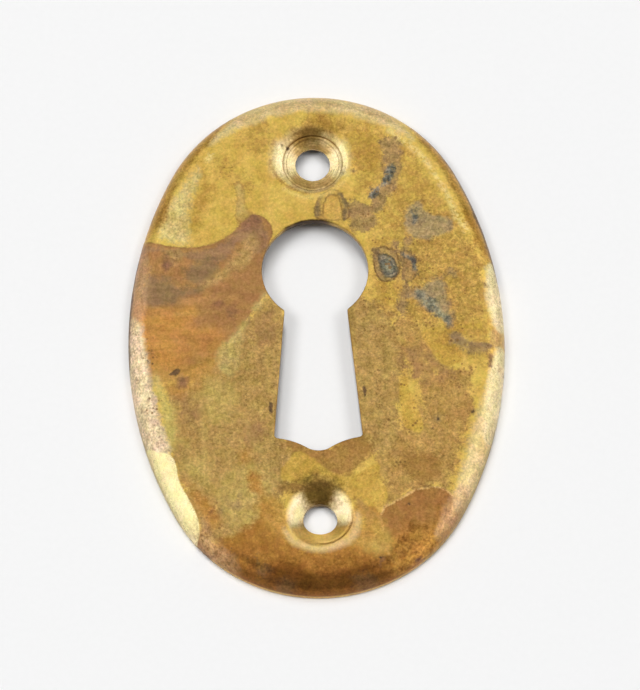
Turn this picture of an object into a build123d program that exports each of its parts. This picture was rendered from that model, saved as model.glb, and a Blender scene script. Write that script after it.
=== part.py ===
from build123d import *
from math import atan2, degrees, radians, sqrt, tan
import os

# Oval keyhole escutcheon, pressed from one sheet of brass and lying face up on its rim.
# Millimetres. Origin at the centre of the rim's foot, +Z out of the face and +Y towards the
# keyhole's round end.

# Oval plate with a turned-down rim; bends are given by their inside radius
plate_length = 54.0
plate_width = 37.8
end_radius = 16.2
plate_height = 2.6
sheet = 0.8
rim_bend = 1.5
foot_break = 0.15

# All that is punched through the face lies about one centre, a little above the oval's own
punch_rise = 0.15

# Pressed screw dimples, the upper one shallower; the punch thinned the sheet, so their backs slope less
screw_pitch = 38.3
dimple_bend = 0.1
upper_dimple_diameter = 7.8
upper_dimple_slope = 25.0
upper_back_slope = 12.0
upper_hole_diameter = 3.5
lower_dimple_diameter = 7.5
lower_dimple_slope = 40.0
lower_back_slope = 30.0
lower_hole_diameter = 3.4

# A drill opened out the upper dimple for a screw's head, and left a ring-shaped step and a cone
drill_diameter = 6.0
drill_depth = 0.5
cone_diameter = 5.6
cone_angle = 130.0

# Keyhole, with its heights measured from the punched centre
bow_diameter = 10.7
bow_height = 7.35
neck_width = 6.3
neck_round = 0.25
foot_width = 8.9
foot_height = -10.75
foot_round = 0.45
tip_drop = 1.43
tip_radius = 2.2
tip_half_angle = 32.0
keyhole_break = 0.12

# Worked out from the sizes above
half_length = plate_length / 2
half_width = plate_width / 2
end_reach = half_length - end_radius
side_radius = (half_width**2 + end_reach**2 - end_radius**2) / (2 * (half_width - end_radius))
side_reach = side_radius - half_width
joint_angle = degrees(atan2(end_reach, side_reach))
face_back = plate_height - sheet
upper_y = punch_rise + screw_pitch / 2
lower_y = punch_rise - screw_pitch / 2
bow_y = punch_rise + bow_height
neck_y = bow_y - sqrt((bow_diameter / 2) ** 2 - (neck_width / 2) ** 2)
foot_y = punch_rise + foot_height
tip_y = foot_y - tip_drop

with BuildPart() as escutcheon_plate:
    # Four-centred oval blank, its edge turned down and its back hollow
    with BuildSketch():
        with BuildLine():
            CenterArc((0, end_reach), end_radius, joint_angle, 90 - joint_angle)
            CenterArc((-side_reach, 0), side_radius, 0, joint_angle)
            mirror(about=Plane.XZ)
            mirror(about=Plane.YZ)
        make_face()
    extrude(amount=plate_height)
    fillet(faces().sort_by(Axis.Z)[-1].edges(), rim_bend + sheet)
    offset(amount=-sheet, openings=faces().sort_by(Axis.Z)[0])
    foot_ring = faces().sort_by(Axis.Z)[0]
    fillet(foot_ring.outer_wire().edges(), foot_break)

    # Dimples pressed round the screw holes
    for dimple_y, dimple_diameter, slope, back_slope, hole_diameter in (
        (upper_y, upper_dimple_diameter, upper_dimple_slope, upper_back_slope, upper_hole_diameter),
        (lower_y, lower_dimple_diameter, lower_dimple_slope, lower_back_slope, lower_hole_diameter),
    ):
        dimple_radius = dimple_diameter / 2
        hole_radius = hole_diameter / 2
        fall = tan(radians(slope))
        back_fall = tan(radians(back_slope))
        with Locations((0, dimple_y, plate_height)):
            Hole(dimple_radius)
        with BuildSketch(Plane.XZ.offset(-dimple_y)):
            with BuildLine():
                face = JernArc((dimple_radius, plate_height), (-1, 0), dimple_bend + sheet, slope)
                back = JernArc((dimple_radius, face_back), (-1, 0), dimple_bend, back_slope)
                hole_top = (face @ 1).Y - ((face @ 1).X - hole_radius) * fall
                hole_foot = (back @ 1).Y - ((back @ 1).X - hole_radius) * back_fall
                Polyline(face @ 1, (hole_radius, hole_top), (hole_radius, hole_foot), back @ 1)
                Line(back @ 0, face @ 0)
            make_face()
        revolve(axis=Axis((0, dimple_y, 0), (0, 0, 1)))

    # The drill's step and cone
    with Locations((0, upper_y, plate_height)):
        CounterBoreHole(upper_hole_diameter / 2, drill_diameter / 2, drill_depth)
    with Locations((0, upper_y, plate_height - drill_depth)):
        CounterSinkHole(upper_hole_diameter / 2, cone_diameter / 2, counter_sink_angle=cone_angle)

    # Keyhole: a round bow, a slot that widens downwards and a foot that dips to a rounded tip
    with BuildSketch(Plane.XY.offset(plate_height)):
        with BuildLine():
            tip = CenterArc((0, tip_y + tip_radius), tip_radius, -90, tip_half_angle)
            TangentArc(tip @ 1, (foot_width / 2, foot_y), tangent=tip % 1)
            Polyline((foot_width / 2, foot_y), (neck_width / 2, neck_y), (0, neck_y))
            mirror(about=Plane.YZ)
        make_face()
        fillet(vertices().group_by(Axis.X)[0] + vertices().group_by(Axis.X)[-1], foot_round)
        with Locations((0, bow_y)):
            Circle(bow_diameter / 2)
        fillet(vertices().sort_by_distance((0, neck_y))[:2], neck_round)
    extrude(amount=-plate_height, mode=Mode.SUBTRACT)
    keyhole_rim = faces().sort_by(Axis.Z)[-1].inner_wires().sort_by(Wire.length)[-1]
    fillet(keyhole_rim.edges(), keyhole_break)

os.makedirs("parts", exist_ok=True)
escutcheon_plate.part.label = "escutcheon_plate"
export_step(escutcheon_plate.part, "parts/escutcheon_plate.step")
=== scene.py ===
import math

import bpy
import numpy as np
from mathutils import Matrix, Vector, noise
from mathutils.geometry import delaunay_2d_cdt


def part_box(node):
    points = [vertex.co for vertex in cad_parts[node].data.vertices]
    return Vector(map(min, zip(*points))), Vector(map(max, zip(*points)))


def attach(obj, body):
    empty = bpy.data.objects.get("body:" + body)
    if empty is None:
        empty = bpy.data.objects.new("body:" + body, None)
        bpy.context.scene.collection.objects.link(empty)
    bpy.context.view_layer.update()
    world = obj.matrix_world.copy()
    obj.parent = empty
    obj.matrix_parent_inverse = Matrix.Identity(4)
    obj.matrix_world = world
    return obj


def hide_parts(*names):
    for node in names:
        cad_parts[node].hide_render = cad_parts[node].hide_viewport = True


# A tarnished oval keyhole escutcheon of sheet brass, lying face up on a pale floor.
# The plate and the camera are given in millimetres, and the floor and the lamps in metres.

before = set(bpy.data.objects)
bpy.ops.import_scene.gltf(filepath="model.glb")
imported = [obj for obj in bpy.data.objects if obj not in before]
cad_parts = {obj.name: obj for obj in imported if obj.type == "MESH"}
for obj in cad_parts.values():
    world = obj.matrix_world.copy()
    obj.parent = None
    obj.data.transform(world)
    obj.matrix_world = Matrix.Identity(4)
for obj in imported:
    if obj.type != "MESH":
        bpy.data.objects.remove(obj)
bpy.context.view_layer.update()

PLATE = "escutcheon_plate"
MM = 0.001

# Sizes of the plate: the overall ones from its box in model.glb, the others as its solid has them
plate_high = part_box(PLATE)[1]
half_width = round(plate_high[0] / MM, 1)
half_length = round(plate_high[1] / MM, 1)
plate_height = round(plate_high[2] / MM, 1)
end_radius = 16.2
sheet = 0.8
rim_radius = 2.3
foot_break = 0.15
punch_rise = 0.15
screw_pitch = 38.3
dimple_bend = 0.1
upper_dimple = {"radius": 3.9, "slope": 25.0, "back_slope": 12.0, "hole": 1.75,
                "y": punch_rise + screw_pitch / 2}
lower_dimple = {"radius": 3.75, "slope": 40.0, "back_slope": 30.0, "hole": 1.7,
                "y": punch_rise - screw_pitch / 2}
drill_radius = 3.0
drill_depth = 0.5
cone_radius = 2.8
cone_slope = math.radians(25.0)
step_fillet = 0.06
chatter_depth = 0.008
chatter_pitch = 0.25
bow_radius = 5.35
bow_y = punch_rise + 7.35
neck_half = 3.15
neck_round = 0.25
foot_half = 4.45
foot_y = punch_rise - 10.75
foot_round = 0.45
tip_drop = 1.43
tip_radius = 2.2
tip_half_angle = math.radians(32.0)
keyhole_break = 0.12

# How finely the mesh follows the plate: millimetres between points, and how much of that borders keep free
rim_step = 0.22
face_step = 0.22
back_step = 0.7
keyhole_step = 0.18
border_gap = 0.6

# Points round a dimple, along curves and along sections, and the turn from which an edge stays sharp
dimple_sides = 180
corner_steps = 7
curve_steps = 6
rim_rings = 17
break_rings = 4
bend_rings = 9
drilled_rings, pressed_rings = 10, 24
cone_rings = 26
back_rings = 6
sharp_angle = math.radians(50)

# How much of the sheet's thickness takes the face's stains, at the rim's foot and on the keyhole's wall
foot_share = 0.6
wall_share = 0.55


# Outlines, all anticlockwise seen from above

def oval_loop(inset):
    """Evenly spaced points on the plate's four-arc outline, moved inwards."""
    end_reach = half_length - end_radius
    side_radius = (half_width**2 + end_reach**2 - end_radius**2) / (2 * (half_width - end_radius))
    side_reach = side_radius - half_width
    joint = math.atan2(end_reach, side_reach)
    turns = np.array([0, joint, math.pi - joint, math.pi + joint, 2 * math.pi - joint, 2 * math.pi])
    radii = np.array([side_radius, end_radius, side_radius, end_radius, side_radius])
    lengths = np.concatenate([[0], np.cumsum(radii * np.diff(turns))])
    count = int(lengths[-1] / rim_step)
    angles = np.interp(np.linspace(0, lengths[-1], count, endpoint=False), lengths, turns)
    across, along = np.cos(angles), np.sin(angles)
    on_side = np.abs(along) < math.sin(joint)
    centre_x = np.where(on_side, -np.sign(across) * side_reach, 0)
    centre_y = np.where(on_side, 0, np.sign(along) * end_reach)
    radius = np.where(on_side, side_radius, end_radius) - inset
    return np.column_stack([centre_x + radius * across, centre_y + radius * along])


def circle_loop(radius, centre_y):
    """Points of a circle on the plate's long axis."""
    turn = np.linspace(0, 2 * math.pi, dimple_sides, endpoint=False)
    return np.column_stack([radius * np.cos(turn), centre_y + radius * np.sin(turn)])


def arc_points(centre, radius, start, end):
    """Points along an arc, both ends included."""
    count = max(3, int(abs(end - start) * radius / keyhole_step) + 1)
    turn = np.linspace(start, end, count)
    return [(centre[0] + radius * math.cos(a), centre[1] + radius * math.sin(a)) for a in turn]


def corner_points(before, corner, after, radius):
    """A corner rounded off with a short curve that touches both of its sides."""
    into = np.subtract(corner, before) / np.linalg.norm(np.subtract(corner, before))
    away = np.subtract(after, corner) / np.linalg.norm(np.subtract(after, corner))
    reach = radius * math.tan(math.acos(np.clip(np.dot(into, away), -1, 1)) / 2)
    start, end = corner - into * reach, corner + away * reach
    return [tuple((1 - t)**2 * start + 2 * t * (1 - t) * np.array(corner) + t**2 * end)
            for t in np.linspace(0, 1, corner_steps)]


def line_points(start, end):
    """Points between two others, neither of them included."""
    count = int(math.dist(start, end) / keyhole_step)
    return [tuple(np.add(start, np.subtract(end, start) * k / count)) for k in range(1, count)]


def keyhole_loop():
    """Outline of the keyhole: a round bow, a slot that widens and a foot that dips to a tip."""
    neck = (neck_half, bow_y - math.sqrt(bow_radius**2 - neck_half**2))
    foot = (foot_half, foot_y)
    tip_centre = (0, foot_y - tip_drop + tip_radius)
    tip = arc_points(tip_centre, tip_radius, -math.pi / 2, -math.pi / 2 + tip_half_angle)
    # The flank leaves the tip's arc on a tangent and bends the other way up to the foot's corner
    run, climb = np.subtract(foot, tip[-1])
    half_turn = tip_half_angle - math.atan2(climb, run)
    flank_radius = math.hypot(run, climb) / (2 * math.sin(half_turn))
    flank_centre = (tip[-1][0] + flank_radius * math.sin(tip_half_angle),
                    tip[-1][1] - flank_radius * math.cos(tip_half_angle))
    flank_start = math.pi / 2 + tip_half_angle
    flank = arc_points(flank_centre, flank_radius, flank_start, flank_start - 2 * half_turn)
    foot_corner = corner_points(flank[-2], foot, neck, foot_round)
    neck_turn = math.atan2(neck[1] - bow_y, neck[0])
    bow = arc_points((0, bow_y), bow_radius, neck_turn, math.pi / 2)
    neck_corner = corner_points(foot, neck, bow[1], neck_round)
    slot = line_points(foot_corner[-1], neck_corner[0])
    right = tip[:-1] + flank[:-3] + foot_corner + slot + neck_corner + bow[3:]
    left = [(-x, y) for x, y in reversed(right[1:-1])]
    return np.array(right + left)


def moved_out(loop, distance):
    """A loop moved sideways, away from what it encloses."""
    along = np.roll(loop, -1, axis=0) - np.roll(loop, 1, axis=0)
    along /= np.linalg.norm(along, axis=1)[:, None]
    return loop + distance * np.column_stack([along[:, 1], -along[:, 0]])


def smooth_path(points, closed):
    """A curve through a few points, as many short lines."""
    knots = np.array(points, float)
    if closed:
        knots = np.vstack([knots[-1], knots, knots[:2]])
    else:
        knots = np.vstack([2 * knots[0] - knots[1], knots, 2 * knots[-1] - knots[-2]])
    path = []
    for a, b, c, d in zip(knots, knots[1:], knots[2:], knots[3:]):
        for t in np.linspace(0, 1, curve_steps, endpoint=False):
            path.append(b + 0.5 * t * (c - a + t * (2 * a - 5 * b + 4 * c - d + t * (3 * (b - c) + d - a))))
    return np.array(path if closed else path + [knots[-2]])


def distance_to(points, path):
    """Shortest distance from each point to the lines of a path."""
    shortest = np.full(len(points), np.inf)
    for start, end in zip(path, path[1:]):
        along = end - start
        part = np.clip((points - start) @ along / max(along @ along, 1e-12), 0, 1)
        shortest = np.minimum(shortest, np.linalg.norm(points - start - part[:, None] * along, axis=1))
    return shortest


def distance_to_loop(points, loop):
    """Shortest distance from each point to a closed outline."""
    return distance_to(points, np.vstack([loop, loop[:1]]))


def within(points, loop):
    """Which points a closed outline encloses."""
    inside = np.zeros(len(points), bool)
    for (ax, ay), (bx, by) in zip(loop, np.roll(loop, -1, axis=0)):
        if ay != by:
            crosses = (ay > points[:, 1]) != (by > points[:, 1])
            inside ^= crosses & (points[:, 0] < (bx - ax) * (points[:, 1] - ay) / (by - ay) + ax)
    return inside


# Sections

def rim_section():
    """Inset and height along the turned-down rim, from the face to its foot and then up its back."""
    turn = np.linspace(0, math.pi / 2, rim_rings)
    back_radius = rim_radius - sheet
    front = [(rim_radius * (1 - math.sin(a)), plate_height - rim_radius * (1 - math.cos(a))) for a in turn]
    front += [(foot_break * (1 - math.cos(a)), foot_break * (1 - math.sin(a)))
              for a in np.linspace(0, math.pi / 2, break_rings)]
    front += [(sheet * foot_share, 0)]
    back = [(sheet, 0)]
    back += [(rim_radius - back_radius * math.sin(a), plate_height - rim_radius + back_radius * math.cos(a))
             for a in turn[::-2]]
    return front, back


def dimple_section(dimple, cut):
    """Radius and height from a dimple's edge down to its hole, and then back underneath."""
    slope, back_slope = math.radians(dimple["slope"]), math.radians(dimple["back_slope"])
    bend = dimple_bend + sheet
    edge, hole = dimple["radius"], dimple["hole"]
    front = [(edge - bend * math.sin(a), plate_height - bend * (1 - math.cos(a)))
             for a in np.linspace(0, slope, bend_rings)]
    shoulder, top = front[-1]
    pressed_end = drill_radius if cut else hole
    radii = np.linspace(shoulder, pressed_end, drilled_rings if cut else pressed_rings)[1:]
    front += [(r, top - (shoulder - r) * math.tan(slope)) for r in radii]
    if cut:
        floor = plate_height - drill_depth
        front += [(drill_radius - step_fillet / 2, floor + step_fillet / 6),
                  (drill_radius - step_fillet, floor), (cone_radius, floor)]
        # The drill's cone, with the fine rings that it chattered into the brass
        for r in np.linspace(cone_radius, hole, cone_rings)[1:]:
            ring = chatter_depth * math.sin(2 * math.pi * r / chatter_pitch)
            front.append((r, floor - (cone_radius - r) * math.tan(cone_slope) + ring))
    back_edge = edge - dimple_bend * math.sin(back_slope)
    back_top = plate_height - sheet - dimple_bend * (1 - math.cos(back_slope))
    radii = np.linspace(hole, back_edge, back_rings)
    back = [(r, back_top - (back_edge - r) * math.tan(back_slope)) for r in radii]
    back.append((edge, plate_height - sheet))
    return front, back


# The plate's mesh: a face, a back, and the strips that join them round the rim and the holes

class MeshParts:
    """Points and faces of the plate, and which of the points lie on its back."""

    def __init__(self):
        self.points = []
        self.faces = []
        self.back = set()

    def add_loop(self, loop, height, back=False):
        """Points at one height; gives back their numbers."""
        added = range(len(self.points), len(self.points) + len(loop))
        self.points += [(x, y, height) for x, y in loop]
        if back:
            self.back.update(added)
        return list(added)

    def sweep(self, outline, section, outwards):
        """Quads between an outline's loops along a section; gives back the first and the last loop."""
        front, back = section
        loops = [self.add_loop(outline(offset), height) for offset, height in front]
        loops += [self.add_loop(outline(offset), height, True) for offset, height in back]
        for first, second in zip(loops, loops[1:]):
            for i, j in zip(range(len(first)), list(range(1, len(first))) + [0]):
                quad = (first[i], second[i], second[j], first[j])
                self.faces.append(quad if outwards else quad[::-1])
        return loops[0], loops[-1]

    def fill(self, loops, step, upwards):
        """Triangles between an outer loop and the holes in it, with evenly spread points inside."""
        outlines = [np.array([self.points[index][:2] for index in loop]) for loop in loops]
        height = self.points[loops[0][0]][2]
        rows = np.arange(-half_length, half_length, step * math.sqrt(3) / 2)
        grid = np.array([(x + (row % 2) * step / 2, y) for row, y in enumerate(rows)
                         for x in np.arange(-half_width, half_width, step)])
        inside = within(grid, outlines[0])
        for outline in outlines[1:]:
            inside &= ~within(grid, outline)
        grid = grid[inside]
        near = np.min([distance_to_loop(grid, outline) for outline in outlines], axis=0)
        grid = grid[near > step * border_gap]
        border = [index for loop in loops for index in loop]
        place = {index: order for order, index in enumerate(border)}
        edges = [(place[a], place[b]) for loop in loops for a, b in zip(loop, loop[1:] + loop[:1])]
        index = border + self.add_loop(grid, height, not upwards)
        flat = np.vstack(outlines + [grid])
        result = delaunay_2d_cdt([Vector(p) for p in flat], edges, [], 1, 1e-7)
        triangles = np.array([[result[3][corner][0] for corner in face] for face in result[2]])
        middle = flat[triangles].mean(axis=1)
        open_space = np.zeros(len(middle), bool)
        for outline in outlines[1:]:
            open_space |= within(middle, outline)
        for triangle in triangles[~open_space]:
            face = tuple(index[corner] for corner in triangle)
            self.faces.append(face if upwards else face[::-1])


# Wear of the hand-pressed sheet, in millimetres: waves by their width, their height and their level in the
# noise, and the metal that a dimple drew down round itself
waves = [(9.0, 0.035, 1.7), (3.2, 0.014, 5.1)]
even_sag = 0.05
dimple_draw = 0.10
draw_reach = 0.9
# The upper dimple was drilled a little off its middle, and the lower one flattens out towards its foot
drill_miss = Vector((-0.2, 0.3, 0.0))
miss_reach, miss_rise, miss_fall = 6.0, 1.8, 2.4
lower_flattening = 0.32
# A slipped tool left a groove with a raised edge round the right of the lower dimple, between two angles in
# degrees
groove_start, groove_end, groove_fade = -100.0, 15.0, 20.0
groove_depth, groove_width = 0.05, 0.14
groove_radius, groove_climb = 2.75, 0.5
groove_margin, groove_floor = 0.15, 1.0
ridge_height, ridge_width, ridge_offset = 0.03, 0.12, 0.26
# Small hurts: a place, how wide it is there, and how far the brass is pushed
hurts = [
    ((-14.4, -3.3, 2.6), 0.35, (0.0, 0.0, -0.10)),
    ((-4.3, -7.4, 2.6), 0.45, (-0.16, 0.0, -0.10)),
    ((-3.1, 20.9, 2.5), 0.30, (0.0, 0.0, -0.09)),
    ((13.6, -20.9, 0.8), 0.55, (-0.12, 0.14, 0.0)),
    ((8.6, -25.3, 0.9), 0.50, (-0.05, 0.12, 0.0)),
    ((6.4, -23.8, 2.6), 0.45, (0.0, 0.0, -0.06)),
    ((-9.2, -25.3, 0.8), 0.60, (0.05, 0.10, 0.0)),
    ((10.5, -15.9, 2.6), 0.60, (0.0, 0.0, -0.05)),
    ((17.6, -2.1, 2.0), 0.70, (-0.06, 0.0, -0.06)),
]


def sag(x, y, z):
    """How far the sheet lies below its true shape, least at the foot of the rim."""
    low = even_sag
    for width, height, level in waves:
        low -= height * noise.noise((x / width, y / width, level))
    for dimple in (upper_dimple, lower_dimple):
        beyond = math.hypot(x, y - dimple["y"]) - dimple["radius"]
        low += dimple_draw * math.exp(-(max(beyond, 0) / draw_reach)**2)
    return low * z / plate_height


def worn(point):
    """A point of the true shape, moved by wear."""
    x, y, z = point
    moved = Vector((x, y, z - (sag(x, y, z) if z > 0 else 0)))
    for place, width, push in hurts:
        reach = (Vector(point) - Vector(place)).length / width
        if reach < 1:
            moved += Vector(push) * (1 - reach**2)**2
    radius = math.hypot(x, y - upper_dimple["y"])
    if drill_radius < radius < miss_reach:
        part = min((radius - drill_radius) / miss_rise, (miss_reach - radius) / miss_fall, 1)
        moved += drill_miss * math.sin(math.pi * part / 2)
    along = y - lower_dimple["y"]
    radius, turn = math.hypot(x, along), math.degrees(math.atan2(along, x))
    if radius < lower_dimple["radius"] and along < 0:
        inwards = (lower_dimple["radius"] - radius) / (lower_dimple["radius"] - lower_dimple["hole"])
        moved.z += lower_flattening * inwards * (plate_height - z) * (along / radius)**2 * min(1, z)
    on_slope = radius < lower_dimple["radius"] - groove_margin and z > groove_floor
    if on_slope and groove_start < turn < groove_end:
        groove = groove_radius + groove_climb * (turn - groove_start) / (groove_end - groove_start)
        fade = min(1, (turn - groove_start) / groove_fade, (groove_end - turn) / groove_fade)
        moved.z -= fade * groove_depth * math.exp(-((radius - groove) / groove_width)**2)
        moved.z += fade * ridge_height * math.exp(-((radius - groove - ridge_offset) / ridge_width)**2)
    return moved


def add_object(name, data):
    """An object in the scene for a mesh, the camera or a lamp."""
    added = bpy.data.objects.new(name, data)
    bpy.context.scene.collection.objects.link(added)
    return added


def build_plate():
    """The worn plate, and its points as they were before the wear."""
    parts = MeshParts()
    borders = [parts.sweep(oval_loop, rim_section(), True)]
    for dimple, cut in ((upper_dimple, True), (lower_dimple, False)):
        section = dimple_section(dimple, cut)
        borders.append(parts.sweep(lambda radius: circle_loop(radius, dimple["y"]), section, False))
    outline = keyhole_loop()
    wall = [(keyhole_break * (1 - math.sin(a)), plate_height - keyhole_break * (1 - math.cos(a)))
            for a in np.linspace(0, math.pi / 2, break_rings)]
    wall += [(0, plate_height - sheet * wall_share)]
    section = wall, [(0, plate_height - sheet)]
    borders.append(parts.sweep(lambda out: moved_out(outline, out), section, False))
    parts.fill([face for face, back in borders], face_step, True)
    parts.fill([back for face, back in borders], back_step, False)
    mesh = bpy.data.meshes.new("tarnished_plate")
    mesh.from_pydata([worn(point) * MM for point in parts.points], [], parts.faces)
    mesh.polygons.foreach_set("material_index", [int(parts.back.issuperset(face)) for face in parts.faces])
    mesh.validate()
    mesh.shade_smooth()
    mesh.set_sharp_from_angle(angle=sharp_angle)
    return add_object("tarnished_plate", mesh), np.array(parts.points)


plate, plate_points = build_plate()
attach(plate, "root")
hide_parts(PLATE)


# Materials are built from nodes

def add_material(name, wearer):
    """The nodes of a new material on an object."""
    material = bpy.data.materials.new(name)
    material.use_nodes = True
    wearer.data.materials.append(material)
    return material.node_tree


def set_inputs(tree, node, inputs):
    """Gives a node's inputs, by position or name, numbers, colours or other nodes' outputs."""
    for position, value in inputs.items():
        if isinstance(value, bpy.types.NodeSocket):
            tree.links.new(value, node.inputs[position])
        else:
            node.inputs[position].default_value = value


def add_node(tree, kind, inputs, **settings):
    """A new node with some inputs and settings."""
    node = tree.nodes.new(kind)
    for name, value in settings.items():
        setattr(node, name, value)
    set_inputs(tree, node, inputs)
    return node


def combine(tree, operation, first, second):
    """Two numbers made into one."""
    return add_node(tree, "ShaderNodeMath", {0: first, 1: second}, operation=operation).outputs[0]


def blend(tree, amount, below, above):
    """One colour over another."""
    return add_node(tree, "ShaderNodeMix", {0: amount, 6: below, 7: above}, data_type="RGBA").outputs[2]


def ease(tree, value, start, end, low=0.0, high=1.0):
    """A smooth step between two values."""
    return add_node(tree, "ShaderNodeMapRange", {0: value, 1: start, 2: end, 3: low, 4: high},
                    interpolation_type="SMOOTHSTEP").outputs[0]


def millimetres(tree, stretch=(1, 1, 1), turn=0.0):
    """The place on the object in millimetres, drawn out where a pattern is to run along one way."""
    place = add_node(tree, "ShaderNodeTexCoord", {}).outputs["Object"]
    scale = [1 / (MM * length) for length in stretch]
    return add_node(tree, "ShaderNodeMapping", {0: place, 2: (0, 0, turn), 3: scale}).outputs[0]


def cloud(tree, place, size, detail=4.0, roughness=0.6):
    """Cloudy noise about a half, with features of a given size."""
    return add_node(tree, "ShaderNodeTexNoise", {0: place, 2: 1 / size, 3: detail, 4: roughness}).outputs[0]


def tone(red, green, blue):
    """A colour as seen on a screen, turned into light."""
    parts = [value / 255 for value in (red, green, blue)]
    return [(p / 12.92 if p <= 0.04045 else ((p + 0.055) / 1.055)**2.4) for p in parts] + [1.0]


# Tarnished brass. Every layer covers the ones below it where its mask is strong.
tree = add_material("tarnished_brass", plate)
edge_inset = distance_to_loop(plate_points[:, :2], oval_loop(0))
edge_angle = np.degrees(np.arctan2(plate_points[:, 1], plate_points[:, 0])) % 360
# Places of stains are measured from a little below the plate's centre
stain_drop = 0.2
flat_points = plate_points[:, :2] + (0, stain_drop)

place = millimetres(tree)
broad = cloud(tree, place, 7.0, 2.0, 0.5)
patchy = cloud(tree, place, 2.4, 6.0, 0.6)
mottle = cloud(tree, place, 0.8, 6.0, 0.65)
grain = cloud(tree, place, 0.24, 3.0, 0.65)
film = ease(tree, cloud(tree, place, 0.5, 6.0, 0.7), 0.40, 0.60)
streaks = cloud(tree, millimetres(tree, (1, 14, 1)), 0.35, 4.0)
flow = cloud(tree, millimetres(tree, (5, 1, 1), math.radians(-12)), 0.9, 5.0)
clumps = cloud(tree, place, 2.2, 2.0)


def about_zero(field, amount):
    """A cloudy field spread evenly about nothing."""
    return combine(tree, "MULTIPLY", combine(tree, "SUBTRACT", field, 0.5), amount)


def total(*fields):
    """The sum of some fields."""
    result = fields[0]
    for field in fields[1:]:
        result = combine(tree, "ADD", result, field)
    return result


def tinted(colour, tint):
    """A colour multiplied by another."""
    return add_node(tree, "ShaderNodeVectorMath", {0: colour, 1: tint}, operation="MULTIPLY").outputs[0]


ragged_edge = total(about_zero(patchy, 2.2), about_zero(mottle, 1.6), about_zero(grain, 0.8))
crumbs = ease(tree, cloud(tree, place, 0.4, 4.0, 0.6), 0.40, 0.56)
flakes = ease(tree, cloud(tree, place, 0.3, 4.0, 0.6), 0.30, 0.48)
# Small round dots of many sizes, in clumps
dot_spacing = 0.42
cells = add_node(tree, "ShaderNodeTexVoronoi", {"Vector": place, "Scale": 1 / dot_spacing})
dot_size = combine(tree, "MULTIPLY", cells.outputs["Color"], 0.32)
dot_reach = total(about_zero(clumps, 1.3), dot_size, about_zero(grain, 0.3))
dots = ease(tree, combine(tree, "SUBTRACT", dot_reach, cells.outputs["Distance"]), 0.0, 0.14)

# Where a cloudy field goes over from one tone to the other
turnover = (0.36, 0.64)
layer = {
    "colour": blend(tree, ease(tree, patchy, *turnover), tone(203, 168, 81), tone(215, 182, 93)),
    "rough": 0.32,
    "metal": 1.0,
    "grit": 0.75,
}


def patch(*points):
    """Distance to a drawn closed outline, negative inside it."""
    loop = smooth_path(points, True)
    distance = distance_to_loop(flat_points, loop)
    return np.where(within(flat_points, loop), -distance, distance)


def stroke(width, *points):
    """Distance to the edge of a line of some width, negative on the line."""
    return distance_to(flat_points, smooth_path(points, False)) - width / 2


def spots(radius, *centres):
    """Distance to the nearest of some round spots, negative inside them."""
    return np.min([np.linalg.norm(flat_points - centre, axis=1) for centre in centres], axis=0) - radius


def crescent(start, end, outer, inner):
    """Distance to a stretch of the rim between two angles, in degrees, that thins out to both ends."""
    middle, half = (start + end) / 2, (end - start) / 2
    turn = np.abs((edge_angle - middle + 180) % 360 - 180) / half
    width = (inner - outer) / 2 * np.sqrt(np.clip(1 - turn**2, 0, 1))
    beyond = np.clip(turn - 1, 0, None) * math.radians(half) * half_width
    return np.abs(edge_inset - (outer + inner) / 2) - width + beyond


def stain(name, shapes, dark, light, soft, ragged, strength=1.0, rough=0.36, metallic=0.95, grit=1.0,
          mix=patchy, broken=None, line=None):
    """Covers the surface inside some shapes with two tones, and may draw a tide line round them.

    Its edge is soft over some millimetres to each side, and ragged where the metal is patchy. A line is its
    tone, its width and its strength.
    """
    attribute = plate.data.attributes.new(name, "FLOAT", "POINT")
    attribute.data.foreach_set("value", np.min(shapes, axis=0).astype(np.float32))
    distance = add_node(tree, "ShaderNodeAttribute", {}, attribute_name=name).outputs["Fac"]
    distance = combine(tree, "ADD", distance, combine(tree, "MULTIPLY", ragged_edge, ragged))
    mask = ease(tree, distance, soft, -soft, 0, strength)
    if broken:
        mask = combine(tree, "MULTIPLY", mask, broken)
    mixed = blend(tree, ease(tree, mix, *turnover), tone(*dark), tone(*light))
    layer["colour"] = blend(tree, mask, layer["colour"], mixed)
    for part, value in (("rough", rough), ("metal", metallic), ("grit", grit)):
        layer[part] = add_node(tree, "ShaderNodeMix", {0: mask, 2: layer[part], 3: value}).outputs[0]
    if line:
        line_tone, width, line_strength = line
        trace = ease(tree, combine(tree, "ABSOLUTE", distance, 0), width, 0, 0, line_strength)
        trace = combine(tree, "MULTIPLY", trace, ease(tree, mottle, 0.3, 0.6))
        layer["colour"] = blend(tree, trace, layer["colour"], tone(*line_tone))


# Broad washes of duller metal, with painted shade inside the upper left rim's bend and along the near rim
stain("right_wash", [
    patch((8.5, 13.5), (10.7, 14.3), (14.7, 12.1), (16.6, 8.1), (16.9, 4), (13.5, 0.8), (10.4, 0.9),
        (8.9, 4.2), (9.6, 8.5)),
], (190, 154, 77), (203, 168, 87), 1, 2.5, grit=1.6)
stain("olive_wash", [
    patch((-4, 5.6), (-2.4, 2.6), (-3, -9.8), (-1.9, -11.4), (0.1, -12.2), (-1.9, -14), (-3.6, -16.4),
        (-3.8, -19.4), (-6.4, -21.4), (-10.6, -22), (-13.2, -18.3), (-14.6, -13.8), (-15.2, -9.5),
        (-15.2, -4.6), (-12.6, -1.2), (-8.5, 1.4)),
    patch((2.4, 5.2), (5.3, 4.3), (8.3, 1.8), (8.8, -1.2), (8.1, -6.6), (8.6, -11), (7.7, -15.3),
        (6.5, -13.3), (3.6, -10.6), (2.4, -4.4)),
], (170, 137, 77), (183, 150, 88), 0.5, 1.8, grit=1.6)
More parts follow.
